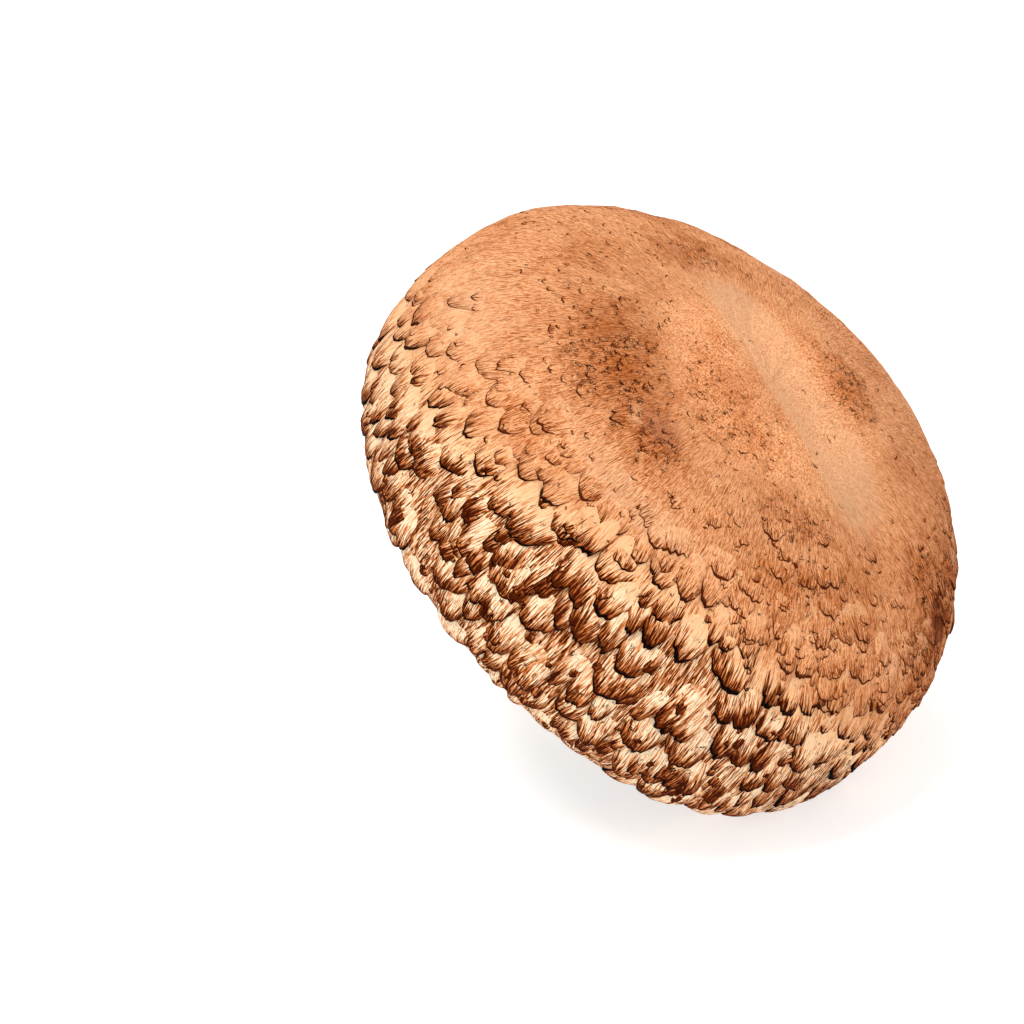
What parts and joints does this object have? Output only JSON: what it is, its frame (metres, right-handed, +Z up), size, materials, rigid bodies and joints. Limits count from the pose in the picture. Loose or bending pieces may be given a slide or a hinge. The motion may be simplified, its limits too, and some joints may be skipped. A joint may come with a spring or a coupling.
{
  "type": "portobello mushroom",
  "caption": "Whole portobello mushroom with a thick scaly brown cap, dark gills and a short pale stem, lying tilted on its cap's edge and stem foot.",
  "frame": {"origin": "on the surface that the mushroom lies on, under the middle of its bounding box", "axes": "+Z up; +X towards the side that the cap leans to, so the underside of the cap and the stem face -X and down; +Y across the lean"},
  "size_m": [0.1018, 0.1126, 0.0873],
  "materials": {
    "cap_skin": "matte",
    "gills": "matte",
    "stem": "matte"
  },
  "bodies": {
    "root": {"cap": "cap_skin", "gills": "gills", "stem": "stem"}
  },
  "joints": []
}
